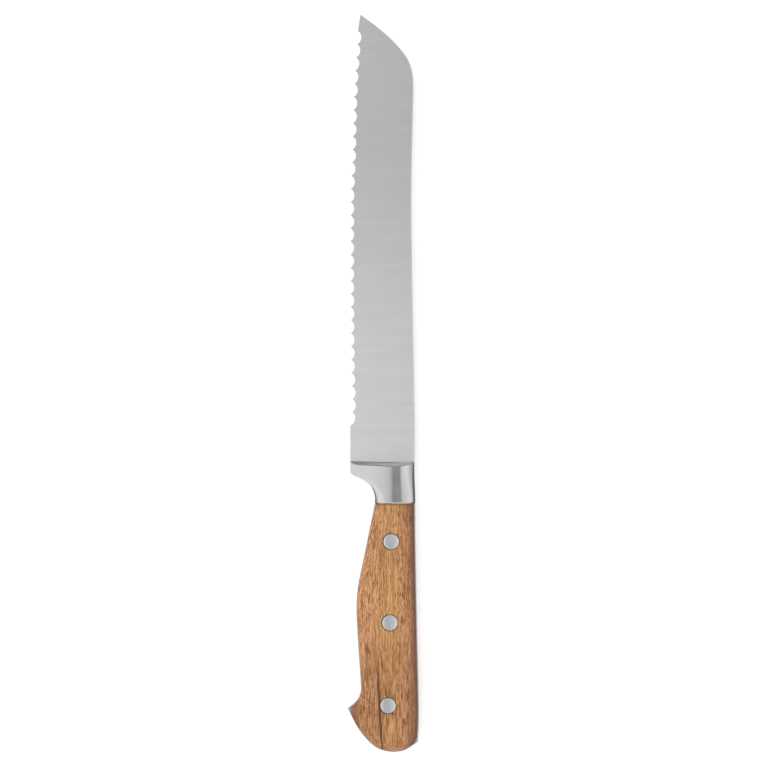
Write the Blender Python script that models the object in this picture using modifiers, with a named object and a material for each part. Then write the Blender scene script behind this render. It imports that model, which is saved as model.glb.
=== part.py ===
"""Bread knife with a scalloped blade, a full tang, a steel bolster and riveted wooden scales.

The knife lies on its side.  X runs across the blade from the cutting edge (-X) to the
spine (+X), Y runs along it from the butt (-Y) to the tip (+Y), and Z is its thickness.
The origin is under the middle of the bounding box, on the surface the handle rests on.
All dimensions below are in millimetres and are turned into metres when meshes are made.
"""

import math

import bmesh
import bpy
from mathutils import Matrix

MM = 0.001

# ---------------------------------------------------------------- overall
HANDLE_THICKNESS = 17.0
MID_Z = HANDLE_THICKNESS / 2
PLATE_THICKNESS = 2.4
GAP = 0.3

# ---------------------------------------------------------------- outlines, seen from above
TIP = (-10.3, 165.0)
TIP_CURVE = [TIP, (-3.0, 159.5), (3.1, 154.2), (8.1, 148.8), (11.2, 144.2), (12.9, 138.8), (13.4, 132.0)]
BLADE_SPINE = [(13.1, 118.0), (12.5, 85.0), (12.8, 53.0), (13.3, 24.5), (14.1, -18.5), (13.9, -39.0)]
HANDLE_SPINE = [(14.3, -53.0), (14.5, -70.5), (15.2, -108.0), (16.0, -145.5), (15.5, -160.4)]
BUTT = [(15.5, -160.4), (12.4, -162.6), (9.0, -164.4), (4.8, -165.0), (0.2, -164.4), (-5.1, -161.7),
        (-11.3, -154.6), (-16.0, -145.5)]
BELLY = [(-16.0, -145.5), (-12.0, -142.0), (-10.3, -138.3), (-10.2, -134.0), (-11.0, -122.5),
         (-11.8, -110.0), (-12.1, -99.5), (-11.3, -90.0), (-8.4, -75.8), (-5.5, -61.5), (-4.0, -54.3)]
BOLSTER_UNDERSIDE = [(-3.65, -52.0), (-4.2, -48.8), (-5.9, -45.4), (-9.0, -43.2), (-12.6, -41.7),
                     (-14.83, -40.3)]
HEEL_X = -14.83

# ---------------------------------------------------------------- blade grind
HALF_AT_HEEL_SPINE = 1.15
TAPER_ACROSS = 0.55 / 29.0
TAPER_ALONG = 0.35 / 200.0
GRIND_ANGLE = math.radians(25.0)

# ---------------------------------------------------------------- serrations
SCALLOPS = 30
SCALLOP_DEPTH = 1.75
SCALLOP_SEGMENTS = 8
SERRATION_START = -18.9
SERRATION_END = 157.4
POINT_LINE = [(-14.68, -18.9), (-14.0, -10.0), (-14.5, 5.0), (-14.8, 35.0), (-14.8, 80.0), (-14.1, 100.0),
              (-13.2, 132.0), (-11.4, 157.4)]

# ---------------------------------------------------------------- bolster
BLADE_LINE_Y = -34.9
BOLSTER_REAR_Y = -53.7
CREST_X = 5.4
CREST_FRONT = 6.3
CREST_REAR = 8.5
SIDE_FRONT = 1.75
SIDE_REAR = 4.5
RAMP_AT_CREST = 2.6
STRAIGHT_Y = -40.25
UNDERSIDE_STATIONS = (-40.8, -41.3, -41.8, -42.4, -43.0, -43.8, -45.0, -46.8, -49.2, -51.6, BOLSTER_REAR_Y)

# ---------------------------------------------------------------- handle scales
SCALE_FRONT_Y = BOLSTER_REAR_Y - GAP
SCALE_INSET = 0.5
SCALE_ROUNDING = 4.0
SCALE_STATIONS = [SCALE_FRONT_Y, -58.5, -64.0, -70.0, -76.5, -83.0, -90.0, -98.0, -107.0, -117.0, -126.0,
                  -132.5, -136.5, -139.5, -142.0, -143.8, -145.5, -148.0, -151.0, -154.0, -157.0, -159.3,
                  -161.2, -162.6, -163.6, -164.2, -164.5]

# ---------------------------------------------------------------- section shared by bolster and scales
LAND = 0.2
CROWN_POWER = 2.2
SECTION_STEPS = (1.0, 0.97, 0.9, 0.78, 0.6, 0.4, 0.2)

# ---------------------------------------------------------------- rivets
RIVETS = {"front": (3.5, -70.8), "middle": (2.9, -107.0), "rear": (2.1, -143.95)}
HEAD_RADIUS = 3.55
HEAD_DEPTH = 2.2
HEAD_CHAMFER = 0.25
HEAD_SUNK = 0.05
SLEEVE_RADIUS = 2.5
BORE_RADIUS = 1.7
PIN_RADIUS = 1.4
SLEEVE_TOP_Z = HANDLE_THICKNESS - 3.0
BORE_BOTTOM_Z = 3.0
PIN_END_Z = 3.5
TURN_STEPS = 24


def clear_scene():
    for obj in list(bpy.data.objects):
        bpy.data.objects.remove(obj, do_unlink=True)
    for collection in list(bpy.data.collections):
        bpy.data.collections.remove(collection)


def make_collection(name):
    collection = bpy.data.collections.new(name)
    bpy.context.scene.collection.children.link(collection)
    return collection


def make_material(name, colour, roughness, metallic):
    material = bpy.data.materials.new(name)
    material.use_nodes = True
    shader = material.node_tree.nodes["Principled BSDF"]
    shader.inputs["Base Color"].default_value = (*colour, 1.0)
    shader.inputs["Roughness"].default_value = roughness
    shader.inputs["Metallic"].default_value = metallic
    return material


# ---------------------------------------------------------------- outline helpers

def smooth_path(keys, steps):
    """Points along a Catmull-Rom spline through the key points."""
    path = []
    last = len(keys) - 1
    for i in range(last):
        p0 = keys[max(i - 1, 0)]
        p1 = keys[i]
        p2 = keys[i + 1]
        p3 = keys[min(i + 2, last)]
        for step in range(steps):
            t = step / steps
            point = []
            for a, b, c, d in zip(p0, p1, p2, p3):
                point.append(0.5 * (2 * b + (c - a) * t + (2 * a - 5 * b + 4 * c - d) * t * t
                                    + (3 * b - a - 3 * c + d) * t ** 3))
            path.append(tuple(point))
    path.append(keys[-1])
    return path


def x_on_path(path, y):
    """X of a path that runs steadily along Y, at a given Y."""
    for (x0, y0), (x1, y1) in zip(path, path[1:]):
        if min(y0, y1) <= y <= max(y0, y1) and y0 != y1:
            return x0 + (x1 - x0) * (y - y0) / (y1 - y0)
    nearest = min(path, key=lambda point: abs(point[1] - y))
    return nearest[0]


def inset(outline, distance):
    """Move each point of a clockwise outline inwards, square to its neighbours."""
    moved = []
    count = len(outline)
    for i in range(count):
        x0, y0 = outline[i - 1]
        x1, y1 = outline[i]
        x2, y2 = outline[(i + 1) % count]
        ax, ay = x1 - x0, y1 - y0
        bx, by = x2 - x1, y2 - y1
        a = math.hypot(ax, ay)
        b = math.hypot(bx, by)
        nx = ay / a + by / b
        ny = -ax / a - bx / b
        scale = distance * 2 / (nx * nx + ny * ny)
        moved.append((x1 + nx * scale, y1 + ny * scale))
    return moved


def flat_solid(name, outline, thickness, z_middle):
    """A filled outline, extruded to a plate and turned into a mesh object."""
    curve = bpy.data.curves.new(name, "CURVE")
    curve.dimensions = "2D"
    curve.fill_mode = "BOTH"
    curve.extrude = thickness / 2 * MM
    spline = curve.splines.new("POLY")
    spline.points.add(len(outline) - 1)
    for point, (x, y) in zip(spline.points, outline):
        point.co = (x * MM, y * MM, 0.0, 1.0)
    spline.use_cyclic_u = True
    drawn = bpy.data.objects.new(name + "_curve", curve)
    bpy.context.scene.collection.objects.link(drawn)
    drawn.location.z = z_middle * MM
    bpy.context.view_layer.update()
    evaluated = drawn.evaluated_get(bpy.context.evaluated_depsgraph_get())
    mesh = bpy.data.meshes.new_from_object(evaluated)
    mesh.name = name
    weld_mesh(mesh)
    solid = bpy.data.objects.new(name, mesh)
    solid.matrix_world = drawn.matrix_world.copy()
    bpy.data.objects.remove(drawn, do_unlink=True)
    bpy.data.curves.remove(curve)
    return solid


def weld_mesh(mesh):
    bm = bmesh.new()
    bm.from_mesh(mesh)
    bmesh.ops.remove_doubles(bm, verts=bm.verts, dist=0.000005)
    bmesh.ops.recalc_face_normals(bm, faces=bm.faces)
    bm.to_mesh(mesh)
    bm.free()


def shade_round(mesh):
    mesh.shade_smooth()
    mesh.set_sharp_from_angle(angle=math.radians(35.0))


def cut(target, cutter, cutters):
    """Boolean difference by a wire-drawn cutter that isn't rendered."""
    cutter.hide_render = True
    cutter.display_type = "WIRE"
    cutters.objects.link(cutter)
    modifier = target.modifiers.new(cutter.name, "BOOLEAN")
    modifier.operation = "DIFFERENCE"
    modifier.solver = "EXACT"
    modifier.object = cutter


def cylinder(name, x, y, z_middle, radius, height):
    mesh = bpy.data.meshes.new(name)
    bm = bmesh.new()
    bmesh.ops.create_cone(bm, cap_ends=True, segments=TURN_STEPS, radius1=radius * MM, radius2=radius * MM,
                          depth=height * MM)
    bm.to_mesh(mesh)
    bm.free()
    obj = bpy.data.objects.new(name, mesh)
    obj.location = (x * MM, y * MM, z_middle * MM)
    return obj


# ---------------------------------------------------------------- blade and tang

def blade_half(x, y):
    """Half the blade's thickness, thinning from the spine to the edge and from heel to tip."""
    return HALF_AT_HEEL_SPINE - (14.0 - x) * TAPER_ACROSS - (y - BLADE_LINE_Y) * TAPER_ALONG


def plate_outline():
    """Clockwise outline of the blank: tip, spine, butt, belly, bolster, heel, blank edge."""
    outline = smooth_path([(-11.6, 166.0)] + TIP_CURVE[1:] + BLADE_SPINE + HANDLE_SPINE, 4)
    outline += smooth_path(BUTT, 3)[1:]
    outline += smooth_path(BELLY + BOLSTER_UNDERSIDE, 3)[1:]
    outline.append((HEEL_X, SERRATION_START + 0.4))
    outline += [(x - 0.6, y) for x, y in POINT_LINE[1:]]
    return outline


def serration_outline():
    """Scalloped cutting line, as shallow arcs between points, closed well off the edge."""
    line = smooth_path(POINT_LINE, 12)
    pitch = (SERRATION_END - SERRATION_START) / SCALLOPS
    points = []
    for i in range(SCALLOPS + 1):
        y = SERRATION_START + i * pitch
        points.append((x_on_path(line, y), y))
    outline = []
    for (x0, y0), (x1, y1) in zip(points, points[1:]):
        chord = math.hypot(x1 - x0, y1 - y0)
        radius = (chord * chord / 4 + SCALLOP_DEPTH ** 2) / (2 * SCALLOP_DEPTH)
        half_angle = math.asin(chord / 2 / radius)
        for step in range(SCALLOP_SEGMENTS):
            angle = half_angle * (2 * step / SCALLOP_SEGMENTS - 1)
            along = 0.5 + radius * math.sin(angle) / chord
            rise = radius * math.cos(angle) - radius + SCALLOP_DEPTH
            x = x0 + (x1 - x0) * along + rise * (y1 - y0) / chord
            y = y0 + (y1 - y0) * along - rise * (x1 - x0) / chord
            outline.append((x, y))
    outline.append(points[-1])
    x_end, y_end = points[-1]
    slope = (TIP[0] - x_end) / (TIP[1] - y_end)
    outline.append((x_end + slope * 12.0, y_end + 12.0))
    outline += [(-25.0, y_end + 12.0), (-25.0, SERRATION_START)]
    return outline


def serration_cutter():
    """The scalloped profile leans under the blade, which hollow-grinds its lower face only."""
    lean = 1.0 / math.tan(GRIND_ANGLE)
    reference_z = MID_Z + 0.5
    outline = []
    for x, y in serration_outline():
        top_z = MID_Z + blade_half(x, y)
        outline.append((x - (reference_z - top_z) * lean, y))
    outline.reverse()
    cutter = flat_solid("serration_cutter", outline, 8.0, 0.0)
    shear = Matrix.Identity(4)
    shear[0][2] = -lean
    cutter.data.transform(shear)
    cutter.location.z = reference_z * MM
    return cutter


def taper_cutter(name, side):
    """Block that planes one face of the blade down to its taper, side +1 above and -1 below."""
    mesh = bpy.data.meshes.new(name)
    bm = bmesh.new()
    bmesh.ops.create_cube(bm, size=1.0)
    for vert in bm.verts:
        x = 24.0 if vert.co.x > 0 else -24.0
        y = 175.0 if vert.co.y > 0 else BLADE_LINE_Y
        far = vert.co.z * side > 0
        z = 6.0 if far else blade_half(x, y)
        vert.co = (x * MM, y * MM, (MID_Z + z * side) * MM)
    bm.to_mesh(mesh)
    bm.free()
    return bpy.data.objects.new(name, mesh)


def build_blade_tang(parts, cutters):
    plate = flat_solid("blade_tang", plate_outline(), PLATE_THICKNESS, MID_Z)
    parts.objects.link(plate)
    cut(plate, taper_cutter("blade_face_cutter", 1), cutters)
    cut(plate, taper_cutter("blade_back_cutter", -1), cutters)
    cut(plate, serration_cutter(), cutters)
    for place, (x, y) in RIVETS.items():
        cut(plate, cylinder(place + "_tang_hole_cutter", x, y, MID_Z, SLEEVE_RADIUS + GAP, 8.0), cutters)
    plate.data.materials.append(make_material("satin_blade_steel", (0.62, 0.63, 0.64), 0.32, 1.0))


# ---------------------------------------------------------------- bolster

def smoothstep(t):
    t = min(max(t, 0.0), 1.0)
    return t * t * (3 - 2 * t)


def crown(s):
    """Share of the height above the sides: 1 over the flat land, falling round to 0 at the outline."""
    t = max(s - LAND, 0.0) / (1.0 - LAND)
    return math.sqrt(max(1.0 - t ** CROWN_POWER, 0.0))


def bolster_height(s, y, left):
    """Height of the cheek over the middle plane; s is 0 on the crest and 1 on the outline."""
    back = smoothstep((BLADE_LINE_Y - y) / (BLADE_LINE_Y - BOLSTER_REAR_Y))
    crest = CREST_FRONT + (CREST_REAR - CREST_FRONT) * back
    side = SIDE_FRONT + (SIDE_REAR - SIDE_FRONT) * back
    front_arch = 1.0 - s ** (1.3 if left else 2.2)
    return side + (crest - side) * (front_arch + (crown(s) - front_arch) * back)


def ramp_length(s, left):
    """How far the hollow ramp behind the blade runs before it meets the cheek's top."""
    if left:
        return 0.1 + (RAMP_AT_CREST - 0.1) * (1.0 - s ** 2.3)
    return 0.8 + (RAMP_AT_CREST - 0.8) * (1.0 - s ** 2.2)


def bolster_point(s, left, ramp, level, underside, spine):
    """Point on the cheek: up the ramp, then from its curved top to a straight level, then on back."""
    start = BLADE_LINE_Y - ramp_length(s, left)
    if ramp < 1.0:
        y = BLADE_LINE_Y + (start - BLADE_LINE_Y) * ramp
        low = PLATE_THICKNESS / 2 + GAP + 0.25
        z = low + (bolster_height(s, start, left) - low) * ramp ** 1.5
    else:
        y = start + (STRAIGHT_Y - start) * min(level, 1.0)
        y += (BOLSTER_REAR_Y - STRAIGHT_Y) * max(level - 1.0, 0.0)
        z = bolster_height(s, y, left)
    if left:
        edge = x_on_path(underside, y) if y < BOLSTER_UNDERSIDE[-1][1] else HEEL_X
    else:
        edge = x_on_path(spine, y)
    return CREST_X + (edge - CREST_X) * s, y, z


def bolster_section(ramp, level, underside, spine, side):
    """Closed ring across the cheek, from the spine over the crest to the underside."""
    top = [bolster_point(s, False, ramp, level, underside, spine) for s in SECTION_STEPS]
    top += [bolster_point(s, True, ramp, level, underside, spine) for s in reversed(SECTION_STEPS)]
    low = PLATE_THICKNESS / 2 + GAP
    ring = top + [(top[-1][0], top[-1][1], low), (top[0][0], top[0][1], low)]
    return [(x * MM, y * MM, (MID_Z + z * side) * MM) for x, y, z in ring]


def loft(name, rings):
    """Closed solid through rings of equal length, with a flat cap on each end."""
    mesh = bpy.data.meshes.new(name)
    bm = bmesh.new()
    loops = [[bm.verts.new(point) for point in ring] for ring in rings]
    for near, far in zip(loops, loops[1:]):
        for i in range(len(near)):
            bm.faces.new((near[i - 1], near[i], far[i], far[i - 1]))
    bm.faces.new(loops[0])
    bm.faces.new(reversed(loops[-1]))
    bmesh.ops.triangulate(bm, faces=bm.faces)
    bmesh.ops.recalc_face_normals(bm, faces=bm.faces)
    bm.to_mesh(mesh)
    bm.free()
    shade_round(mesh)
    return bpy.data.objects.new(name, mesh)


def build_bolster(parts):
    underside = smooth_path(BELLY[-2:] + BOLSTER_UNDERSIDE, 6)
    spine = smooth_path(BLADE_SPINE[-2:] + HANDLE_SPINE, 6)
    stations = [(step / 5, 0.0) for step in range(5)]
    stations += [(1.0, level) for level in (0.0, 0.4, 0.75, 1.0)]
    stations += [(1.0, 1.0 + (y - STRAIGHT_Y) / (BOLSTER_REAR_Y - STRAIGHT_Y)) for y in UNDERSIDE_STATIONS]
    for name, side in (("bolster_left", 1), ("bolster_right", -1)):
        rings = [bolster_section(ramp, level, underside, spine, side) for ramp, level in stations]
        cheek = loft(name, rings)
        parts.objects.link(cheek)
        cheek.data.materials.append(make_material(name + "_steel", (0.70, 0.70, 0.71), 0.18, 1.0))


# ---------------------------------------------------------------- scales

def scale_outline():
    """Tang outline behind the bolster, set in a little and blunted at the beak."""
    spine = smooth_path([BLADE_SPINE[-1]] + HANDLE_SPINE, 6)[:-1]
    belly = smooth_path(BELLY, 4)[1:] + smooth_path([BELLY[-2], BELLY[-1], BOLSTER_UNDERSIDE[0]], 4)[5:]
    outline = spine + [(15.4, -158.9), (13.6, -161.8)]
    outline += smooth_path(BUTT[2:-1], 3)
    outline += [(-14.6, -148.6), (-14.9, -145.6)]
    return inset(outline + belly, SCALE_INSET)


def edge_distance(x, y, outline):
    """Shortest distance from a point to the outline."""
    nearest = 1000.0
    for (x0, y0), (x1, y1) in zip(outline, outline[1:]):
        dx, dy = x1 - x0, y1 - y0
        t = ((x - x0) * dx + (y - y0) * dy) / (dx * dx + dy * dy)
        t = min(max(t, 0.0), 1.0)
        nearest = min(nearest, math.hypot(x - x0 - dx * t, y - y0 - dy * t))
    return nearest


def scale_height(x, y, s, outline):
    """The crowned face is also rounded over along the rim, which shapes the butt and the beak."""
    inward = min(edge_distance(x, y, outline) / SCALE_ROUNDING, 1.0)
    rim = math.sqrt(1.0 - (1.0 - inward) ** 2)
    return SIDE_REAR + (CREST_REAR - SIDE_REAR) * min(crown(s), rim)


def scale_section(y, outline, side):
    """Closed ring across the scale, from the spine over the crown to the belly."""
    lowest = min(range(len(outline)), key=lambda i: outline[i][1])
    x_right = x_on_path(outline[:lowest + 1], y)
    x_left = x_on_path(outline[lowest:], y)
    middle = (x_left + x_right) / 2
    half = (x_right - x_left) / 2
    ring = []
    for s in SECTION_STEPS:
        ring.append((middle + half * s, scale_height(middle + half * s, y, s, outline)))
    for s in reversed(SECTION_STEPS):
        ring.append((middle - half * s, scale_height(middle - half * s, y, s, outline)))
    ring.append((x_left, PLATE_THICKNESS / 2 + GAP))
    ring.append((x_right, PLATE_THICKNESS / 2 + GAP))
    return [(x * MM, y * MM, (MID_Z + z * side) * MM) for x, z in ring]


def build_scale(name, side, parts, cutters):
    outline = scale_outline()
    scale = loft(name, [scale_section(y, outline, side) for y in SCALE_STATIONS])
    parts.objects.link(scale)
    for place, (x, y) in RIVETS.items():
        hole = cylinder(name + "_" + place + "_hole_cutter", x, y, MID_Z, SLEEVE_RADIUS + GAP, 40.0)
        cut(scale, hole, cutters)
        seat_depth = HEAD_DEPTH + HEAD_SUNK + GAP
        seat_z = MID_Z + side * (MID_Z - seat_depth + 5.0)
        seat = cylinder(name + "_" + place + "_seat_cutter", x, y, seat_z, HEAD_RADIUS + GAP, 10.0)
        cut(scale, seat, cutters)
    scale.data.materials.append(make_material(name + "_acacia", (0.47, 0.24, 0.11), 0.5, 0.0))


# ---------------------------------------------------------------- rivets

def turned(name, profile, x, y):
    """Profile of (radius, z) points, revolved about a vertical axis through (x, y)."""
    mesh = bpy.data.meshes.new(name)
    vertices = [(radius * MM, 0.0, z * MM) for radius, z in profile]
    mesh.from_pydata(vertices, [(i, i + 1) for i in range(len(profile) - 1)], [])
    obj = bpy.data.objects.new(name, mesh)
    obj.location = (x * MM, y * MM, 0.0)
    screw = obj.modifiers.new("turn", "SCREW")
    screw.steps = TURN_STEPS
    screw.render_steps = TURN_STEPS
    screw.use_smooth_shade = True
    screw.use_merge_vertices = True
    screw.merge_threshold = 0.00001
    return obj


def build_rivet(place, x, y, parts):
    top = HANDLE_THICKNESS - HEAD_SUNK
    post = [(0.0, top), (HEAD_RADIUS - HEAD_CHAMFER, top), (HEAD_RADIUS, top - HEAD_CHAMFER),
            (HEAD_RADIUS, top - HEAD_DEPTH), (PIN_RADIUS, top - HEAD_DEPTH), (PIN_RADIUS, PIN_END_Z),
            (0.0, PIN_END_Z)]
    bottom = HEAD_SUNK
    socket = [(0.0, BORE_BOTTOM_Z), (BORE_RADIUS, BORE_BOTTOM_Z), (BORE_RADIUS, SLEEVE_TOP_Z),
              (SLEEVE_RADIUS, SLEEVE_TOP_Z), (SLEEVE_RADIUS, bottom + HEAD_DEPTH),
              (HEAD_RADIUS, bottom + HEAD_DEPTH), (HEAD_RADIUS, bottom + HEAD_CHAMFER),
              (HEAD_RADIUS - HEAD_CHAMFER, bottom), (0.0, bottom)]
    for name, profile in ((place + "_rivet_post", post), (place + "_rivet_socket", socket)):
        rivet = turned(name, profile, x, y)
        parts.objects.link(rivet)
        rivet.data.materials.append(make_material(name + "_metal", (0.66, 0.69, 0.72), 0.3, 1.0))


def main():
    clear_scene()
    parts = make_collection("bread_knife")
    cutters = make_collection("cutters")
    build_blade_tang(parts, cutters)
    build_bolster(parts)
    build_scale("scale_left", 1, parts, cutters)
    build_scale("scale_right", -1, parts, cutters)
    for place, (x, y) in RIVETS.items():
        build_rivet(place, x, y, parts)


main()
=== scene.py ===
"""Bread knife with a scalloped satin blade, a polished bolster and oiled acacia scales.

The knife lies on its side on a pale studio floor: X runs from the cutting edge to the spine,
Y from the butt to the tip and Z through the thickness.  Lengths below are in millimetres,
like the frame's driving dimensions, and become metres when a mesh is made.
"""

import math

import bmesh
import bpy
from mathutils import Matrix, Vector


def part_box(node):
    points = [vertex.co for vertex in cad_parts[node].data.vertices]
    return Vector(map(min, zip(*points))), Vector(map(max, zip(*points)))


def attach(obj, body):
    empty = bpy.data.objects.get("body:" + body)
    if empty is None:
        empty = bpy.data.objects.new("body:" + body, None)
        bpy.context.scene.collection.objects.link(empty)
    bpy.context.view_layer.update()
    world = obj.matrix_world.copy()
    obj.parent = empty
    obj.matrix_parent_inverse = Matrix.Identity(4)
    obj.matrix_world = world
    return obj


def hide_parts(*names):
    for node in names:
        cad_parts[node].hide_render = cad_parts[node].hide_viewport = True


MM = 0.001

# ---------------------------------------------------------------- outlines, shared with the frame
TIP = (-10.3, 165.0)
TIP_CURVE = [TIP, (-3.0, 159.5), (3.1, 154.2), (8.1, 148.8), (11.2, 144.2), (12.9, 138.8), (13.4, 132.0)]
BLADE_SPINE = [(13.1, 118.0), (12.5, 85.0), (12.8, 53.0), (13.3, 24.5), (14.1, -18.5), (13.9, -39.0)]
HANDLE_SPINE = [(14.3, -53.0), (14.5, -70.5), (15.2, -108.0), (16.0, -145.5), (15.5, -160.4)]
BUTT = [(15.5, -160.4), (12.4, -162.6), (9.0, -164.4), (4.8, -165.0), (0.2, -164.4), (-5.1, -161.7),
        (-11.3, -154.6), (-16.0, -145.5)]
BELLY = [(-16.0, -145.5), (-12.0, -142.0), (-10.3, -138.3), (-10.2, -134.0), (-11.0, -122.5),
         (-11.8, -110.0), (-12.1, -99.5), (-11.3, -90.0), (-8.4, -75.8), (-5.5, -61.5), (-4.0, -54.3)]
BOLSTER_UNDERSIDE = [(-3.65, -52.0), (-4.2, -48.8), (-5.9, -45.4), (-9.0, -43.2), (-12.6, -41.7),
                     (-14.83, -40.3)]
HEEL_X = -14.83
POINT_LINE = [(-14.68, -18.9), (-14.0, -10.0), (-14.5, 5.0), (-14.8, 35.0), (-14.8, 80.0), (-14.1, 100.0),
              (-13.2, 132.0), (-11.4, 157.4)]

# ---------------------------------------------------------------- blade
PLATE_HALF = 1.2
THICKENING_RUN = 6.0
HALF_AT_HEEL_SPINE = 1.15
TAPER_ACROSS = 0.55 / 29.0
TAPER_ALONG = 0.35 / 200.0
GRIND_LEAN = 1.0 / math.tan(math.radians(25.0))
SCALLOPS = 30
SCALLOP_DEPTH = 1.75
SCALLOP_STEPS = 14
SERRATION_START = -18.9
SERRATION_END = 157.4
BLADE_LINE_Y = -34.9
SPINE_ROUNDING = 0.35
RIM_ROUNDING = 0.5
TANG_ROUNDING = 0.2
CHOIL_ROUNDING = 0.2        # the unground edge between the heel and the first scallop
TIP_GAP = 0.02              # keeps the end rings off the tip and off the first point
LEAST_WIDTH = 0.02

# ---------------------------------------------------------------- bolster and scales
CREST_X = 5.4
CREST_FRONT = 6.3
CREST_REAR = 8.5
SIDE_FRONT = 2.3
SIDE_REAR = 4.5
RAMP_AT_CREST = 2.6
STRAIGHT_Y = -40.25
LAND_LEFT = 1.0             # flat land on each side of the crest
LAND_RIGHT = 2.0
CROWN_POWER = 1.9
SCALE_INSET = 0.6
SCALE_ROUNDING = 4.0
SEAM = 0.05
EDGE_BREAK = 0.4
REAR_BREAK = 0.7
FOOT_DEPTH = 0.05           # how far the cheek's underside is kept below its thin front lip
FALL_RATE = 0.113           # the broad face falls by rate * distance ** power
FALL_POWER = 1.25

# ---------------------------------------------------------------- rivets
HEAD_DOME = 0.18
HEAD_EDGE = 0.4
HEAD_DEPTH = 2.2
HEAD_CLEARANCE = 0.16
SEAT_DEPTH = 2.4
PIN_RADIUS = 1.4
BORE_RADIUS = 1.7
SLEEVE_RADIUS = 2.5
HOLE_RADIUS = 2.8
BORE_BOTTOM_Z = 3.0

# ---------------------------------------------------------------- camera
FIELD_WIDTH = 340.0
LENS = 300.0
SENSOR = 36.0
AIM = (-1.48, 1.36)


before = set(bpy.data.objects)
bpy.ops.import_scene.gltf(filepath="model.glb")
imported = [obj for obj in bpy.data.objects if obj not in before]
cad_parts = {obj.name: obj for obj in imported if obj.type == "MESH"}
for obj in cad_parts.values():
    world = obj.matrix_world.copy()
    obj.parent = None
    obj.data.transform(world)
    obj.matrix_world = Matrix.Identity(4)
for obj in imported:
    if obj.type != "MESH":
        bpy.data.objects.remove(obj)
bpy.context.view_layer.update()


def node_box(node):
    """A node's lowest and highest corners in millimetres."""
    low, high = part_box(node)
    return [c / MM for c in low], [c / MM for c in high]


PLATE_LOW, PLATE_HIGH = node_box("blade_tang")
MID_Z = (PLATE_LOW[2] + PLATE_HIGH[2]) / 2
BOLSTER_REAR_Y = node_box("bolster_left")[0][1]
SCALE_FRONT_Y = node_box("scale_left")[1][1]


# ---------------------------------------------------------------- outline helpers

def smooth_path(keys, steps):
    """Points along a Catmull-Rom spline through the key points."""
    path = []
    last = len(keys) - 1
    for i in range(last):
        p0 = keys[max(i - 1, 0)]
        p1 = keys[i]
        p2 = keys[i + 1]
        p3 = keys[min(i + 2, last)]
        for step in range(steps):
            t = step / steps
            point = []
            for a, b, c, d in zip(p0, p1, p2, p3):
                point.append(0.5 * (2 * b + (c - a) * t + (2 * a - 5 * b + 4 * c - d) * t * t
                                    + (3 * b - a - 3 * c + d) * t ** 3))
            path.append(tuple(point))
    path.append(keys[-1])
    return path


def x_on_path(path, y):
    """X of a path that runs steadily along Y, at a given Y."""
    for (x0, y0), (x1, y1) in zip(path, path[1:]):
        if min(y0, y1) <= y <= max(y0, y1) and y0 != y1:
            return x0 + (x1 - x0) * (y - y0) / (y1 - y0)
    nearest = min(path, key=lambda point: abs(point[1] - y))
    return nearest[0]


def inset(outline, distance):
    """Move each point of a clockwise outline inwards, square to its neighbours."""
    moved = []
    count = len(outline)
    for i in range(count):
        x0, y0 = outline[i - 1]
        x1, y1 = outline[i]
        x2, y2 = outline[(i + 1) % count]
        ax, ay = x1 - x0, y1 - y0
        bx, by = x2 - x1, y2 - y1
        a = math.hypot(ax, ay)
        b = math.hypot(bx, by)
        nx = ay / a + by / b
        ny = -ax / a - bx / b
        scale = distance * 2 / (nx * nx + ny * ny)
        moved.append((x1 + nx * scale, y1 + ny * scale))
    return moved


def steps_between(start, end, spacing):
    """Evenly spaced values from start to end, both included."""
    count = max(round(abs(end - start) / spacing), 1)
    return [start + (end - start) * i / count for i in range(count + 1)]


# ---------------------------------------------------------------- mesh helpers

def link(name, bm, material, sharp_angle=30.0):
    """Write a bmesh in millimetres to a new, smoothly shaded object in metres."""
    bmesh.ops.recalc_face_normals(bm, faces=bm.faces)
    bmesh.ops.scale(bm, vec=(MM, MM, MM), verts=bm.verts)
    mesh = bpy.data.meshes.new(name)
    bm.to_mesh(mesh)
    bm.free()
    mesh.shade_smooth()
    mesh.set_sharp_from_angle(angle=math.radians(sharp_angle))
    mesh.materials.append(material)
    obj = bpy.data.objects.new(name, mesh)
    bpy.context.scene.collection.objects.link(obj)
    return obj


def loft(rings):
    """Closed skin through rings of equal length, with a cap on each end."""
    bm = bmesh.new()
    loops = [[bm.verts.new(point) for point in ring] for ring in rings]
    for near, far in zip(loops, loops[1:]):
        for i in range(len(near)):
            bm.faces.new((near[i - 1], near[i], far[i], far[i - 1]))
    bm.faces.new(loops[0])
    bm.faces.new(reversed(loops[-1]))
    return bm


def lathe(profile, x, y, segments=64):
    """Skin of a (radius, z) profile turned about a vertical axis; both ends are on the axis."""
    rings = []
    for radius, z in profile[1:-1]:
        ring = []
        for i in range(segments):
            angle = 2 * math.pi * i / segments
            ring.append((x + radius * math.cos(angle), y + radius * math.sin(angle), z))
        rings.append(ring)
    bm = bmesh.new()
    loops = [[bm.verts.new(point) for point in ring] for ring in rings]
    for near, far in zip(loops, loops[1:]):
        for i in range(segments):
            bm.faces.new((near[i - 1], near[i], far[i], far[i - 1]))
    for loop, (_, z) in ((loops[0], profile[0]), (loops[-1], profile[-1])):
        centre = bm.verts.new((x, y, z))
        for i in range(segments):
            bm.faces.new((loop[i - 1], loop[i], centre))
    return bm


def show(piece, nodes):
    """The piece stands for CAD nodes and rides with the knife."""
    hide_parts(*nodes)
    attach(piece, "root")
    return piece


# ---------------------------------------------------------------- node helpers

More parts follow.
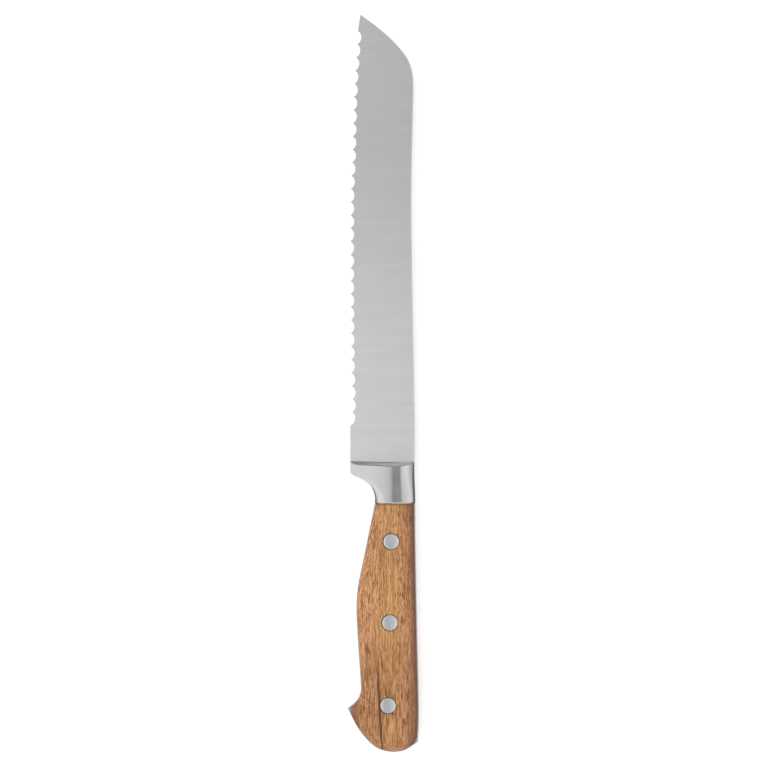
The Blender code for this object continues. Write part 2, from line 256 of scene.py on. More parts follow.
class NodeTree:
    """A node tree, with short calls to build it."""

    def __init__(self, tree):
        self.tree = tree

    def join(self, socket, value):
        if isinstance(value, bpy.types.NodeSocket):
            self.tree.links.new(value, socket)
        else:
            socket.default_value = value

    def math(self, operation, a, b=0.0):
        node = self.tree.nodes.new("ShaderNodeMath")
        node.operation = operation
        for socket, value in zip(node.inputs, (a, b)):
            self.join(socket, value)
        return node.outputs[0]

    def math_vector(self, operation, a, b=None, scale=None):
        node = self.tree.nodes.new("ShaderNodeVectorMath")
        node.operation = operation
        self.join(node.inputs[0], a)
        if b is not None:
            self.join(node.inputs[1], b)
        if scale is not None:
            self.join(node.inputs["Scale"], scale)
        return node.outputs[0]

    def length(self, vector):
        node = self.tree.nodes.new("ShaderNodeVectorMath")
        node.operation = "LENGTH"
        self.join(node.inputs[0], vector)
        return node.outputs["Value"]

    def axis(self, vector, letter):
        node = self.tree.nodes.new("ShaderNodeSeparateXYZ")
        self.join(node.inputs[0], vector)
        return node.outputs[letter]

    def combine(self, x, y, z):
        node = self.tree.nodes.new("ShaderNodeCombineXYZ")
        for socket, value in zip(node.inputs, (x, y, z)):
            self.join(socket, value)
        return node.outputs[0]

    def noise(self, vector, stretch, detail=2.0, roughness=0.5, distortion=0.0, shift=0.0):
        """Noise of about one feature per millimetre, times stretch along each axis."""
        moved = self.math_vector("MULTIPLY", vector, stretch)
        moved = self.math_vector("ADD", moved, (shift, shift * 0.7, shift * 1.3))
        node = self.tree.nodes.new("ShaderNodeTexNoise")
        self.join(node.inputs["Vector"], moved)
        self.join(node.inputs["Scale"], 1.0)
        self.join(node.inputs["Detail"], detail)
        self.join(node.inputs["Roughness"], roughness)
        self.join(node.inputs["Distortion"], distortion)
        return node.outputs["Fac"]

    def span(self, value, from_low, from_high, to_low=0.0, to_high=1.0, smooth=True):
        node = self.tree.nodes.new("ShaderNodeMapRange")
        node.interpolation_type = "SMOOTHSTEP" if smooth else "LINEAR"
        self.join(node.inputs["Value"], value)
        for label, number in (("From Min", from_low), ("From Max", from_high),
                              ("To Min", to_low), ("To Max", to_high)):
            self.join(node.inputs[label], number)
        return node.outputs[0]

    def mix(self, factor, a, b, blend="MIX"):
        node = self.tree.nodes.new("ShaderNodeMix")
        node.data_type = "RGBA"
        node.blend_type = blend
        self.join(node.inputs["Factor"], factor)
        self.join(node.inputs[6], a)
        self.join(node.inputs[7], b)
        return node.outputs[2]

    def bump(self, height, depth, strength=1.0, under=None):
        """Bump whose height socket runs 0 to 1 over a depth in millimetres."""
        node = self.tree.nodes.new("ShaderNodeBump")
        self.join(node.inputs["Strength"], strength)
        self.join(node.inputs["Distance"], depth * MM)
        self.join(node.inputs["Height"], height)
        if under is not None:
            self.join(node.inputs["Normal"], under)
        return node.outputs[0]


class Shader(NodeTree):
    """A material, whose place is the point on its piece in millimetres."""

    def __init__(self, name):
        self.material = bpy.data.materials.new(name)
        self.material.use_nodes = True
        super().__init__(self.material.node_tree)
        self.principled = self.tree.nodes["Principled BSDF"]
        coordinates = self.tree.nodes.new("ShaderNodeTexCoord")
        self.place = self.math_vector("SCALE", coordinates.outputs["Object"], scale=1 / MM)

    def finish(self, colour, roughness, normal, metallic=0.0, **fixed):
        self.join(self.principled.inputs["Base Color"], colour)
        self.join(self.principled.inputs["Roughness"], roughness)
        self.join(self.principled.inputs["Normal"], normal)
        self.join(self.principled.inputs["Metallic"], metallic)
        for label, value in fixed.items():
            self.join(self.principled.inputs[label.replace("_", " ")], value)
        return self.material


# ---------------------------------------------------------------- materials

def blade_steel():
    """Satin steel, brushed across the blade, and smoother on the tang."""
    s = Shader("blade_steel")
    x = s.axis(s.place, "X")
    y = s.axis(s.place, "Y")
    broad = s.noise(s.place, (0.03, 0.25, 0.1), 3.0)
    brush = s.noise(s.place, (0.045, 1.6, 0.8), 4.0, 0.7)
    fine = s.noise(s.place, (0.12, 7.0, 3.0), 2.0, 0.6, shift=9.0)
    lines = s.math("ADD", s.math("MULTIPLY", brush, 0.6), s.math("MULTIPLY", fine, 0.4))
    tone = s.span(lines, 0.3, 0.7, 0.96, 1.03, smooth=False)
    tone = s.math("MULTIPLY", tone, s.span(broad, 0.3, 0.7, 0.985, 1.015, smooth=False))
    # painted shade: the tone darkens from the heel towards the tip and a little from the edge to the spine,
    # in place of how the broad reflection falls off
    tone = s.math("MULTIPLY", tone, s.span(x, -14.0, 13.0, 1.03, 0.97, smooth=False))
    tone = s.math("MULTIPLY", tone, s.span(y, -20.0, 120.0, 1.07, 0.855))
    tang = s.span(y, BOLSTER_REAR_Y - 0.2, BOLSTER_REAR_Y, 1.0, 0.0)
    colour = s.mix(1.0, (0.86, 0.86, 0.862, 1.0), s.combine(tone, tone, tone), "MULTIPLY")
    roughness = s.span(lines, 0.3, 0.7, 0.40, 0.50, smooth=False)
    roughness = s.math("SUBTRACT", roughness, s.math("MULTIPLY", tang, 0.24))
    normal = s.bump(lines, 0.0015, 0.8)
    return s.finish(colour, roughness, normal, 1.0)


def bolster_steel():
    """Polished steel with fine buffing marks and a few faint hairlines."""
    s = Shader("bolster_steel")
    buff = s.noise(s.place, (0.35, 2.4, 1.2), 4.0, 0.65)
    haze = s.noise(s.place, (0.25, 0.25, 0.25), 3.0, shift=6.0)
    hair = s.noise(s.place, (0.2, 11.0, 5.0), 2.0, 0.5, distortion=0.4, shift=3.0)
    tone = s.math("MULTIPLY", s.span(haze, 0.3, 0.7, 0.96, 1.03, smooth=False),
                  s.span(hair, 0.35, 0.65, 0.985, 1.01, smooth=False))
    colour = s.mix(1.0, (0.64, 0.64, 0.643, 1.0), s.combine(tone, tone, tone), "MULTIPLY")
    roughness = s.span(s.math("ADD", s.math("MULTIPLY", haze, 0.6), s.math("MULTIPLY", buff, 0.4)),
                       0.3, 0.7, 0.16, 0.26, smooth=False)
    normal = s.bump(buff, 0.003, 0.6, s.bump(hair, 0.0015, 0.5))
    return s.finish(colour, roughness, normal, 1.0)


def rivet_metal(name, x, y):
    """Rivet head, turned and then rubbed down flush, with rings that fade to hairlines."""
    s = Shader(name)
    away = s.math_vector("SUBTRACT", s.place, (x, y, 0.0))
    flat = s.math_vector("MULTIPLY", away, (1.0, 1.0, 0.0))
    radius = s.length(flat)
    rings = s.noise(s.combine(radius, 0.0, 0.0), (5.0, 1.0, 1.0), 2.0, 0.6)
    rub = s.noise(s.place, (3.2, 0.25, 1.0), 3.0, 0.6, shift=x)
    tone = s.math("MULTIPLY", s.span(rings, 0.3, 0.7, 0.97, 1.03, smooth=False),
                  s.span(rub, 0.3, 0.7, 0.94, 1.05, smooth=False))
    colour = s.mix(1.0, (0.90, 0.93, 0.955, 1.0), s.combine(tone, tone, tone), "MULTIPLY")
    roughness = s.span(rub, 0.3, 0.7, 0.24, 0.34, smooth=False)
    normal = s.bump(rub, 0.004, 0.6, s.bump(rings, 0.003, 0.5))
    return s.finish(colour, roughness, normal, 1.0)


def acacia(name, seed, rivets, veined):
    """Oiled acacia: golden middle, redder towards the spine, coarse dark pores along the grain."""
    s = Shader(name)
    x = s.axis(s.place, "X")
    y = s.axis(s.place, "Y")
    z = s.axis(s.place, "Z")
    sway = s.noise(s.place, (0.05, 0.022, 0.05), 2.0, shift=seed)
    wave = s.noise(s.place, (0.35, 0.16, 0.35), 2.0, shift=seed + 1.0)
    bent = s.math("ADD", x, s.math("MULTIPLY", s.math("SUBTRACT", sway, 0.5), 5.0))
    bent = s.math("ADD", bent, s.math("MULTIPLY", s.math("SUBTRACT", wave, 0.5), 1.6))
    grain = s.combine(bent, y, z)

    broad = s.noise(grain, (0.13, 0.012, 0.13), 2.0, shift=seed + 2.0)
    bands = s.noise(grain, (0.7, 0.02, 0.6), 3.0, 0.55, shift=seed + 4.0)
    fibre = s.noise(grain, (2.1, 0.07, 2.0), 3.0, 0.6, shift=seed + 6.0)
    rear_half = s.span(y, -95.0, -125.0)
    curly = s.noise(grain, (1.95, 0.36, 1.8), 3.0, 0.6, distortion=0.8, shift=seed + 8.0)
    straight = s.noise(grain, (1.75, 0.15, 1.6), 3.0, 0.6, distortion=0.35, shift=seed + 9.0)
    strokes = s.math("ADD", s.math("MULTIPLY", curly, s.math("SUBTRACT", 1.0, rear_half)),
                     s.math("MULTIPLY", straight, rear_half))
    pores = s.noise(grain, (3.0, 0.32, 2.7), 2.0, 0.5, distortion=0.3, shift=seed + 11.0)
    clusters = s.noise(grain, (0.24, 0.05, 0.2), 2.0, shift=seed + 14.0)

    golden = (0.715, 0.395, 0.148, 1.0)
    rosy = (0.640, 0.336, 0.170, 1.0)
    tan = (0.490, 0.232, 0.098, 1.0)
    red = (0.420, 0.176, 0.096, 1.0)
    dark = (0.185, 0.068, 0.020, 1.0)
    belly_side = s.span(x, 0.5, -7.5)
    red_side = s.span(x, 8.0, 13.0)
    calm = s.math("MULTIPLY", s.span(s.math("ABSOLUTE", s.math("SUBTRACT", x, 3.0)), 1.0, 5.0, 0.65, 0.0),
                  s.math("SUBTRACT", 1.0, rear_half))
    density = s.math("MAXIMUM", s.span(clusters, 0.38, 0.62, 0.25, 1.0),
                     belly_side)
    density = s.math("MULTIPLY", density, s.math("SUBTRACT", 1.0, calm))
    colour = s.mix(s.span(s.math("ABSOLUTE", s.math("SUBTRACT", x, 2.0)), 2.0, 6.0, 0.0, 0.85), golden, rosy)
    colour = s.mix(s.span(broad, 0.38, 0.66, 0.05, 0.6), colour, tan)
    colour = s.mix(s.math("MULTIPLY", rear_half, s.span(x, 9.0, -8.0, 0.30, 0.72)), colour, tan)
    colour = s.mix(s.span(bands, 0.42, 0.64, 0.0, 0.5), colour, tan)
    colour = s.mix(s.math("MULTIPLY", red_side, s.span(bands, 0.3, 0.6, 0.4, 0.85)), colour, red)
    colour = s.mix(s.span(fibre, 0.40, 0.62, 0.0, 0.6), colour, dark)
    colour = s.mix(s.span(strokes, 0.46, 0.34, 0.0, 0.4), colour, golden)
    geometry = s.tree.nodes.new("ShaderNodeNewGeometry")
    end_grain = s.math("ABSOLUTE", s.axis(geometry.outputs["Normal"], "Y"))
    lengthwise = s.span(end_grain, 0.4, 0.9, 1.0, 0.4)
    stroke = s.math("MULTIPLY", s.span(strokes, 0.53, 0.59), s.math("MULTIPLY", density, lengthwise))
    colour = s.mix(s.math("MULTIPLY", stroke, 0.95), colour, dark)
    pore = s.math("MULTIPLY", s.span(pores, 0.55, 0.63), s.math("MULTIPLY", lengthwise, 0.7))
    colour = s.mix(pore, colour, dark)

    if veined:
        # one long dark vein runs down to the butt, heaviest beside the rear rivet
        vein_x = s.math("ADD", s.math("MULTIPLY", s.math("ADD", y, 110.0), -0.066), -3.6)
        vein_x = s.math("ADD", vein_x, s.math("MULTIPLY", s.math("SUBTRACT", sway, 0.5), -3.0))
        vein_x = s.math("ADD", vein_x, s.math("MULTIPLY", s.math("SUBTRACT", wave, 0.5), -0.9))
        past_vein = s.math("SUBTRACT", x, vein_x)
        edge_side = s.math("MULTIPLY", s.span(past_vein, 0.2, -0.2), s.span(past_vein, -2.4, -0.6))
        edge_side = s.math("MULTIPLY", edge_side, s.span(y, -108.0, -125.0, 0.0, 0.35))
        colour = s.mix(edge_side, colour, red)
        heavy = s.math("MULTIPLY", s.span(y, -128.0, -138.0), s.span(y, -160.0, -153.0))
        spread = s.math("SUBTRACT", s.math("ABSOLUTE", past_vein), s.math("MULTIPLY", heavy, 0.16))
        vein = s.span(spread, 0.18, 0.60, 1.0, 0.0)
        vein = s.math("MULTIPLY", vein, s.span(y, -112.0, -136.0))
        vein = s.math("MULTIPLY", vein, s.span(fibre, 0.35, 0.6, 0.7, 1.0))
        colour = s.mix(vein, colour, (0.090, 0.032, 0.012, 1.0))
    # painted shade: the beak's upper edge is painted dark where its rounding lies in shade
    beak = s.math("MULTIPLY", s.span(x, -10.0, -12.2), s.span(y, -138.5, -141.0))
    colour = s.mix(s.math("MULTIPLY", beak, 0.7), colour, (0.20, 0.082, 0.055, 1.0))

    along = s.math("MULTIPLY", s.span(y, -76.0, -90.0, 1.0, 1.07), s.span(y, -116.0, -130.0, 1.0, 0.89))
    along = s.math("MULTIPLY", along, s.span(x, 3.0, 9.0, 1.0, 1.05))
    colour = s.mix(1.0, colour, s.combine(along, along, along), "MULTIPLY")

    # painted shade: the front edge against the bolster and the rounded side facing the spine are painted
    # dark where shade falls; the rims round the rivets are darker
    colour = s.mix(s.span(y, SCALE_FRONT_Y - 0.9, SCALE_FRONT_Y - 0.3, 0.0, 0.6), colour, dark)
    spine_side_shade = s.axis(geometry.outputs["Normal"], "X")
    colour = s.mix(s.span(spine_side_shade, 0.22, 0.75, 0.0, 0.80), colour, (0.175, 0.080, 0.046, 1.0))
    for rivet_x, rivet_y, radius in rivets:
        away = s.math_vector("SUBTRACT", s.combine(x, y, 0.0), (rivet_x, rivet_y, 0.0))
        ring = s.span(s.length(away), radius + 0.15, radius + 0.7, 0.35, 0.0)
        colour = s.mix(ring, colour, dark)

    roughness = s.span(s.math("ADD", s.math("MULTIPLY", fibre, 0.5), s.math("MULTIPLY", pores, 0.5)),
                       0.35, 0.65, 0.42, 0.60, smooth=False)
    relief = s.math("SUBTRACT", 1.0, s.math("ADD", s.math("MULTIPLY", pore, 1.0),
                                            s.math("MULTIPLY", stroke, 0.6)))
    normal = s.bump(relief, 0.05, 0.7, s.bump(fibre, 0.012, 0.6))
    return s.finish(colour, roughness, normal, 0.0, Specular_IOR_Level=0.3)


def floor_paint():
    """Matt white table, softly lit from underneath, with the slightest mottle."""
    s = Shader("studio_floor")
    mottle = s.noise(s.place, (0.01, 0.01, 0.01), 3.0)
    tone = s.span(mottle, 0.3, 0.7, 0.93, 0.945, smooth=False)
    s.principled.inputs["Emission Color"].default_value = (1.0, 1.0, 1.0, 1.0)
    s.principled.inputs["Emission Strength"].default_value = 0.40
    return s.finish(s.combine(tone, tone, tone), 0.85, s.bump(mottle, 0.02, 0.2), 0.0)


# ---------------------------------------------------------------- blade and tang

def blade_half(x, y):
    """Half the blade's thickness, thinning from the spine to the edge and from heel to tip."""
    return HALF_AT_HEEL_SPINE - (14.0 - x) * TAPER_ACROSS - (y - BLADE_LINE_Y) * TAPER_ALONG


def cutting_edge(y, line):
    """X of the cutting edge: scallops between the points, then a straight run to the tip."""
    if y >= SERRATION_END:
        start = line[-1]
        return start[0] + (TIP[0] - start[0]) * (y - start[1]) / (TIP[1] - start[1])
    pitch = (SERRATION_END - SERRATION_START) / SCALLOPS
    place = min(max((y - SERRATION_START) / pitch, 0.0), SCALLOPS - 1e-6)
    k = int(place)
    t = place - k
    x0 = x_on_path(line, SERRATION_START + k * pitch)
    x1 = x_on_path(line, SERRATION_START + (k + 1) * pitch)
    radius = (pitch * pitch / 4 + SCALLOP_DEPTH ** 2) / (2 * SCALLOP_DEPTH)
    rise = math.sqrt(radius ** 2 - ((t - 0.5) * pitch) ** 2) - radius + SCALLOP_DEPTH
    return x0 + (x1 - x0) * t + rise


def rim_arc(edge_x, direction, half, rounding, steps=5):
    """Rounded rim from the top face to the bottom face; direction points out of the plate."""
    points = []
    for i in range(steps + 1):
        if i <= steps // 2:
            angle = math.pi / 2 * i / (steps // 2)
            z = half - rounding + rounding * math.cos(angle)
        else:
            angle = math.pi / 2 * (steps - i) / (steps // 2)
            z = -half + rounding - rounding * math.cos(angle)
        x = edge_x - direction * rounding * (1.0 - math.sin(angle))
        points.append((x, z))
    return points


def plate_ring(left, right, y, half_at):
    """Closed ring: down the left rim, across the bottom, up the right rim, across the top."""
    ring = list(left)
    shares = (0.15, 0.4, 0.65, 0.9)
    x0, x1 = left[-1][0], right[-1][0]
    for share in shares:
        x = x0 + (x1 - x0) * share
        ring.append((x, -half_at(x)))
    ring += reversed(right)
    x0, x1 = left[0][0], right[0][0]
    for share in reversed(shares):
        x = x0 + (x1 - x0) * share
        ring.append((x, half_at(x)))
    return [(x, y, MID_Z + z) for x, z in ring]


def blade_ring(y, line, spine, ground):
    """Section of the blade; where it is ground, the hidden face slopes up to the edge."""
    x_spine = x_on_path(spine, y)
    x_edge = cutting_edge(y, line) if ground else HEEL_X
    width = max(x_spine - x_edge, LEAST_WIDTH)
    half = blade_half(x_spine, y)
    right = rim_arc(x_spine, 1, half, min(SPINE_ROUNDING, width * 0.2, half * 0.9))
    if ground:
        half = blade_half(x_edge, y)
        run = min(2 * half * GRIND_LEAN, width * 0.7)
        left = []
        for i in range(6):
            share = i / 5
            low = -blade_half(x_edge + run, y)
            left.append((x_edge + run * share, half + (low - half) * share))
    else:
        left = rim_arc(x_edge, -1, blade_half(x_edge, y), CHOIL_ROUNDING)
    return plate_ring(left, right, y, lambda x: blade_half(x, y))


def plate_half_at(x, y):
    """The plate thickens from the blade's section to the tang's, hidden under the bolster."""
    share = smoothstep((BLADE_LINE_Y - y) / THICKENING_RUN)
    thin = blade_half(x, BLADE_LINE_Y)
    return thin + (PLATE_HALF - thin) * share


def tang_ring(y, belly, spine):
    """Section of the plate under the bolster and the scales."""
    x_right = x_on_path(spine, y)
    x_left = x_on_path(belly, y) if y < BOLSTER_UNDERSIDE[-1][1] else HEEL_X
    behind = min(1.0, max(0.0, BOLSTER_REAR_Y - y))
    rounding = min(RIM_ROUNDING + (TANG_ROUNDING - RIM_ROUNDING) * behind, (x_right - x_left) * 0.2)
    left = rim_arc(x_left, -1, plate_half_at(x_left, y), rounding)
    right = rim_arc(x_right, 1, plate_half_at(x_right, y), rounding)
    return plate_ring(left, right, y, lambda x: plate_half_at(x, y))


def make_blade():
    line = smooth_path(POINT_LINE, 12)
    spine = smooth_path(TIP_CURVE + BLADE_SPINE + HANDLE_SPINE, 12)
    left = smooth_path(BUTT[3:], 12)[:-1] + smooth_path(BELLY + BOLSTER_UNDERSIDE, 12)
    right = spine[:-1] + smooth_path(BUTT[:4], 12)
    pitch = (SERRATION_END - SERRATION_START) / SCALLOPS
    rings = []
    count = 14
    for i in range(count):
        y = TIP[1] - TIP_GAP - (TIP[1] - SERRATION_END) * (i / count) ** 1.6
        rings.append(blade_ring(y, line, spine, True))
    for k in range(SCALLOPS, 0, -1):
        for step in range(SCALLOP_STEPS):
            share = (1 - math.cos(math.pi * step / SCALLOP_STEPS)) / 2
            y = SERRATION_START + (k - share) * pitch
            rings.append(blade_ring(y, line, spine, True))
    rings.append(blade_ring(SERRATION_START, line, spine, True))
    for y in steps_between(SERRATION_START - TIP_GAP, BLADE_LINE_Y, 2.0):
        rings.append(blade_ring(y, line, spine, False))
    for y in steps_between(BLADE_LINE_Y - 0.2, PLATE_LOW[1] + 3.0, 0.5):
        rings.append(tang_ring(y, left, right))
    for i in range(1, 13):
        y = PLATE_LOW[1] + 3.0 * (1 - i / 12.2) ** 2
        rings.append(tang_ring(y, left, right))
    blade = link("blade", loft(rings), blade_steel(), 20.0)
    low, high = MID_Z - 2 * PLATE_HALF, MID_Z + 2 * PLATE_HALF
    for x, y, _ in rivet_places():
        cut_turned(blade, [(0.0, low), (HOLE_RADIUS, low), (HOLE_RADIUS, high), (0.0, high)], x, y)
    return show(blade, ["blade_tang"])


# ---------------------------------------------------------------- bolster

def smoothstep(t):
    t = min(max(t, 0.0), 1.0)
    return t * t * (3 - 2 * t)


def crown(t):
    """Share of the height above the sides: 1 beside the flat land, falling round to 0 at the outline."""
    return math.sqrt(max(1.0 - t ** CROWN_POWER, 0.0))


def beyond_land(distance, width, left):
    """0 on the flat land along the crest, growing to 1 at the outline."""
    land = LAND_LEFT if left else LAND_RIGHT
    return min(max(distance - land, 0.0) / (width - land), 1.0)


def left_fall(distance):
    """Drop of the broad face that slopes from the crest down to the cutting-edge side."""
    return FALL_RATE * max(distance - LAND_LEFT, 0.0) ** FALL_POWER


def left_height(x, y, underside):
    """Height over the middle plane of the sloping face, rounded over along the underside further back."""
    back = smoothstep((BLADE_LINE_Y - y) / (BLADE_LINE_Y - BOLSTER_REAR_Y))
    crest = CREST_FRONT + (CREST_REAR - CREST_FRONT) * back
    rear_width = CREST_X - underside[0][0]
    drop = (CREST_REAR - SIDE_REAR - left_fall(rear_width)) * back * back
    radius = 0.3 + SCALE_ROUNDING * back
    inward = 1.0 if y > STRAIGHT_Y else min(edge_distance(x, y, underside) / radius, 1.0)
    return crest - left_fall(CREST_X - x) - drop * (1.0 - math.sqrt(1.0 - (1.0 - inward) ** 2))


def right_height(t, y):
    """Height over the middle plane on the spine side; t is 0 on the land and 1 on the outline."""
    back = smoothstep((BLADE_LINE_Y - y) / (BLADE_LINE_Y - BOLSTER_REAR_Y))
    crest = CREST_FRONT + (CREST_REAR - CREST_FRONT) * back
    side = SIDE_FRONT + (SIDE_REAR - SIDE_FRONT) * back
    front_arch = 1.0 - t ** 1.8
    return side + (crest - side) * (front_arch + (crown(t) - front_arch) * back)


def ramp_length(s, left):
    """How far the hollow ramp behind the blade runs before it meets the cheek's top."""
    if left:
        return 0.05 + (1.0 - s ** 16) * (1.75 + (RAMP_AT_CREST - 1.8) * (1.0 - s) ** 1.3)
    return 0.8 + (RAMP_AT_CREST - 0.8) * (1.0 - s ** 1.7)


def bolster_point(s, left, ramp, y_behind, underside, spine):
    """Point on the cheek: up the ramp, then on its top at or behind the ramp's end."""
    start = BLADE_LINE_Y - ramp_length(s, left)
    if ramp < 1.0:
        y = BLADE_LINE_Y + (start - BLADE_LINE_Y) * ramp
    else:
        share = (y_behind - BLADE_LINE_Y) / (STRAIGHT_Y - BLADE_LINE_Y)
        y = y_behind if share >= 1.0 else start + (STRAIGHT_Y - start) * share
    if left:
        edge = x_on_path(underside, y) if y < BOLSTER_UNDERSIDE[-1][1] else HEEL_X
    else:
        edge = x_on_path(spine, y)
    x = CREST_X + (edge - CREST_X) * s
    top_y = min(y, start)
    if left:
        z = left_height(x, top_y, underside)
    else:
        z = right_height(beyond_land(x - CREST_X, edge - CREST_X, False), top_y)
    if ramp < 1.0:
        low = blade_half(x, BLADE_LINE_Y) - 0.04
        z = low + (z - low) * (1.0 - math.sqrt(1.0 - ramp ** 2))
    return x, y, z


def make_bolster(name, side, material):
    underside = smooth_path(BELLY[-2:] + BOLSTER_UNDERSIDE, 16)
    spine = smooth_path(BLADE_SPINE[-2:] + HANDLE_SPINE, 16)
    rear = BOLSTER_REAR_Y - SEAM + REAR_BREAK
    across = [math.sin(math.pi / 2 * (1 - i / 32)) for i in range(33)]
    stations = [(math.sin(math.pi / 2 * i / 16), 0.0) for i in range(16)]
    stations += [(1.0, y) for y in steps_between(BLADE_LINE_Y, STRAIGHT_Y, 0.6)]
    stations += [(1.0, y) for y in steps_between(STRAIGHT_Y - 0.15, rear, 0.25)]
    rings = []
    for ramp, y_behind in stations:
        top = [bolster_point(s, False, ramp, y_behind, underside, spine) for s in across]
        top += [bolster_point(s, True, ramp, y_behind, underside, spine) for s in reversed(across[:-1])]
        rings.append(top)
    last = rings[-1]
    for share in (0.33, 0.67, 1.0):
        y = last[0][1] - REAR_BREAK * share
        drop = REAR_BREAK * 0.42 * share ** 1.2
        rings.append([(CREST_X + (px - CREST_X) * (1.0 - drop / 12.0), y, pz - drop) for px, _, pz in last])
    closed = []
    for ring in rings:
        base = min(PLATE_HALF, min(pz for _, _, pz in ring) - FOOT_DEPTH)
        ring = ring + [(ring[-1][0], ring[-1][1], base), (ring[0][0], ring[0][1], base)]
        closed.append([(px, py, MID_Z + pz * side) for px, py, pz in ring])
    cheek = link(name + "_cheek", loft(closed), material, 35.0)
    return show(cheek, [name])


# ---------------------------------------------------------------- scales

def scale_outline():
    """Tang outline behind the bolster, set in a little and blunted at the beak."""
    spine = smooth_path([BLADE_SPINE[-1]] + HANDLE_SPINE, 12)[:-4]
    butt = smooth_path([spine[-1], (15.4, -158.9), (13.6, -161.8)] + BUTT[2:-1] + [(-14.6, -148.6),
                                                                                  (-14.9, -145.6)], 5)
    belly = smooth_path(BELLY, 8)[2:] + smooth_path([BELLY[-2], BELLY[-1], BOLSTER_UNDERSIDE[0]], 6)[7:]
    return inset(spine[:-1] + butt + belly, SCALE_INSET)


def edge_distance(x, y, outline):
    """Shortest distance from a point to the outline."""
    nearest = 1000.0
    for (x0, y0), (x1, y1) in zip(outline, outline[1:]):
        if abs(y0 - y) > 12.0:
            continue
        dx, dy = x1 - x0, y1 - y0
        t = ((x - x0) * dx + (y - y0) * dy) / (dx * dx + dy * dy)
        t = min(max(t, 0.0), 1.0)
        nearest = min(nearest, math.hypot(x - x0 - dx * t, y - y0 - dy * t))
    return nearest


def scale_height(x, y, t, outline):
    """The crowned face is also rounded over along the rim, which shapes the butt and the beak."""
    inward = min(edge_distance(x, y, outline) / SCALE_ROUNDING, 1.0)
    rim = math.sqrt(1.0 - (1.0 - inward) ** 2)
    return SIDE_REAR + (CREST_REAR - SIDE_REAR) * min(crown(t), rim)


def rivet_places():
    """Centre and radius of each rivet head, from the frame."""
    places = []
    for place in ("front", "middle", "rear"):
        low, high = node_box(place + "_rivet_post")
        places.append(((low[0] + high[0]) / 2, (low[1] + high[1]) / 2, (high[0] - low[0]) / 2))
    return places


def make_scale(name, side, material):
    outline = scale_outline()
    lowest = min(range(len(outline)), key=lambda i: outline[i][1])
    right = outline[:lowest + 1]
    left = outline[lowest:]
    across = [math.sin(math.pi / 2 * (1 - i / 22)) for i in range(23)]
    end_y = outline[lowest][1]
    front = SCALE_FRONT_Y + SEAM
    stations = steps_between(front, -130.0, 1.5) + steps_between(-131.0, end_y + 4.0, 0.5)
    stations += [end_y + 4.0 * (1 - i / 16.3) ** 2 for i in range(1, 17)]
    rings = []
    for y in stations:
        x_right = x_on_path(right, y)
        x_left = x_on_path(left, y)
        middle = (x_left + x_right) / 2
        half = (x_right - x_left) / 2
        drop = EDGE_BREAK / 2 if y == front else 0.0
        top = [middle + half * s for s in across] + [middle - half * s for s in reversed(across[:-1])]
        ring = []
        for x in top:
            t = beyond_land(abs(x - middle), half, x < middle)
            ring.append((x, y, scale_height(x, y, t, outline) - drop))
        ring += [(x_left, y, PLATE_HALF), (x_right, y, PLATE_HALF)]
        rings.append([(px, py, MID_Z + pz * side) for px, py, pz in ring])
    scale = link(name + "_wood", loft(rings), material, 40.0)
    outer = MID_Z + side * CREST_REAR
    seat_floor = outer - side * SEAT_DEPTH
    for x, y, radius in rivet_places():
        seat = radius + HEAD_CLEARANCE
        cut_turned(scale, [(0.0, MID_Z), (HOLE_RADIUS, MID_Z), (HOLE_RADIUS, seat_floor), (seat, seat_floor),
                           (seat, outer + side * 2.0), (0.0, outer + side * 2.0)], x, y)
    return show(scale, [name])


def cut_turned(piece, profile, x, y):
    """Cut a turned shape out of a piece."""
    cutter = link("turned_cutter", lathe(profile, x, y, 72), piece.data.materials[0], 40.0)
    modifier = piece.modifiers.new("turned", "BOOLEAN")
    modifier.operation = "DIFFERENCE"
    modifier.solver = "EXACT"
    modifier.object = cutter
    bpy.context.view_layer.objects.active = piece
    bpy.ops.object.modifier_apply(modifier=modifier.name)
    bpy.data.objects.remove(cutter, do_unlink=True)


# ---------------------------------------------------------------- rivets

def make_rivet(node, side):
    """Flush head, barely domed with a broken edge, on a pin or on the sleeve that takes the pin."""
    low, high = node_box(node)
    x = (low[0] + high[0]) / 2
    y = (low[1] + high[1]) / 2
    radius = (high[0] - low[0]) / 2
    outer = high[2] if side > 0 else low[2]
    inner = low[2] if side > 0 else high[2]
    profile = [(0.0, outer)]
    for i in range(1, 9):
        share = i / 8
        profile.append(((radius - HEAD_EDGE) * share, outer - side * HEAD_DOME * share ** 2))
    for i in range(1, 5):
        angle = math.pi / 2 * i / 4
        profile.append((radius - HEAD_EDGE + HEAD_EDGE * math.sin(angle),
                        outer - side * (HEAD_DOME + HEAD_EDGE * (1 - math.cos(angle)))))
    shoulder = outer - side * HEAD_DEPTH
    if node.endswith("post"):
        profile += [(radius, shoulder), (PIN_RADIUS, shoulder), (PIN_RADIUS, inner), (0.0, inner)]
    else:
        profile += [(radius, shoulder), (SLEEVE_RADIUS, shoulder), (SLEEVE_RADIUS, inner),
                    (BORE_RADIUS, inner), (BORE_RADIUS, BORE_BOTTOM_Z), (0.0, BORE_BOTTOM_Z)]
    rivet = link(node + "_head", lathe(profile, x, y), rivet_metal(node + "_metal", x, y), 40.0)
    return show(rivet, [node])


# ---------------------------------------------------------------- studio

def make_floor():
    bpy.ops.mesh.primitive_plane_add(size=6.0, location=(0.0, 0.0, 0.0))
    floor = bpy.context.object
    floor.name = "studio_floor"
    floor.visible_glossy = False
    floor.data.materials.append(floor_paint())


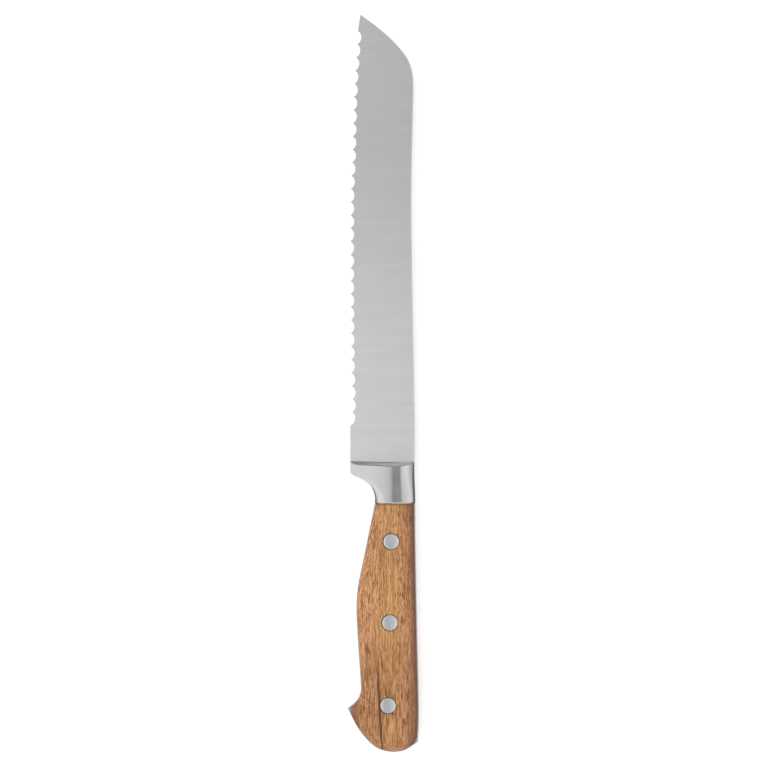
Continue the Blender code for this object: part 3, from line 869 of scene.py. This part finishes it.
def make_world():
    """Pale room; matt surfaces see even light, and polished ones see pale boxes with dark gaps between."""
    world = bpy.data.worlds.new("studio")
    bpy.context.scene.world = world
    world.use_nodes = True
    s = NodeTree(world.node_tree)
    s.tree.nodes.clear()
    direction = s.tree.nodes.new("ShaderNodeTexCoord").outputs["Generated"]
    x = s.axis(direction, "X")
    y = s.axis(direction, "Y")
    z = s.axis(direction, "Z")
    left = s.math("ADD", s.span(x, -0.45, -0.10, 0.97, 0.33), s.span(x, -0.45, -0.65, 0.0, 0.10))
    right = s.math("ADD", s.span(x, 0.05, 0.30, 0.0, 0.53), s.span(x, 0.35, 0.9, 0.0, 0.20))
    boxes = s.math("MAXIMUM", s.math("ADD", left, right), s.span(y, 0.2, 0.6, 0.0, 0.67))
    boxes = s.math("MAXIMUM", boxes, s.span(y, -0.4, -0.8, 0.0, 0.95))
    boxes = s.math("MULTIPLY", boxes, s.span(z, 0.15, 0.45, 0.66, 1.0))
    below = s.math("MULTIPLY", s.span(z, 0.08, -0.08), s.span(s.math("ABSOLUTE", x), 0.1, 0.4, 0.0, 0.8))
    boxes = s.math("MULTIPLY", boxes, s.math("SUBTRACT", 1.0, below))
    daylight = s.span(x, -1.0, 1.0, 1.4, 0.6, smooth=False)
    path = s.tree.nodes.new("ShaderNodeLightPath")
    matt = path.outputs["Is Diffuse Ray"]
    seen = path.outputs["Is Camera Ray"]
    level = s.math("ADD", s.math("MULTIPLY", matt, daylight),
                   s.math("MULTIPLY", s.math("SUBTRACT", 1.0, matt), boxes))
    level = s.math("ADD", s.math("MULTIPLY", seen, 1.0),
                   s.math("MULTIPLY", s.math("SUBTRACT", 1.0, seen), level))
    background = s.tree.nodes.new("ShaderNodeBackground")
    output = s.tree.nodes.new("ShaderNodeOutputWorld")
    s.join(background.inputs["Color"], s.combine(level, level, level))
    s.tree.links.new(background.outputs[0], output.inputs["Surface"])


def aim_at(obj, target):
    obj.rotation_euler = (Vector(target) - obj.location).to_track_quat("-Z", "Y").to_euler()


def make_softbox(name, location, size, energy):
    light = bpy.data.lights.new(name, "AREA")
    light.shape = "SQUARE"
    light.size = size
    light.energy = energy
    box = bpy.data.objects.new(name, light)
    box.location = location
    box.visible_glossy = False
    box.visible_camera = False
    bpy.context.scene.collection.objects.link(box)
    aim_at(box, (0.0, 0.0, 0.0))


def make_camera():
    data = bpy.data.cameras.new("camera")
    data.lens = LENS
    data.sensor_width = SENSOR
    data.clip_start = 0.01
    camera = bpy.data.objects.new("camera", data)
    distance = FIELD_WIDTH * LENS / SENSOR
    camera.location = (AIM[0] * MM, AIM[1] * MM, (MID_Z + distance) * MM)
    camera.rotation_euler = (0.0, 0.0, 0.0)
    bpy.context.scene.collection.objects.link(camera)
    bpy.context.scene.camera = camera


def main():
    bpy.context.scene.view_settings.view_transform = "Standard"
    make_camera()
    make_blade()
    polished = bolster_steel()
    make_bolster("bolster_left", 1, polished)
    make_bolster("bolster_right", -1, polished)
    make_scale("scale_left", 1, acacia("acacia_left", 0.0, rivet_places(), True))
    make_scale("scale_right", -1, acacia("acacia_right", 31.0, rivet_places(), False))
    for place in ("front", "middle", "rear"):
        make_rivet(place + "_rivet_post", 1)
        make_rivet(place + "_rivet_socket", -1)
    make_floor()
    make_world()
    make_softbox("key", (-0.8, 0.4, 1.4), 1.6, 6.0)


main()
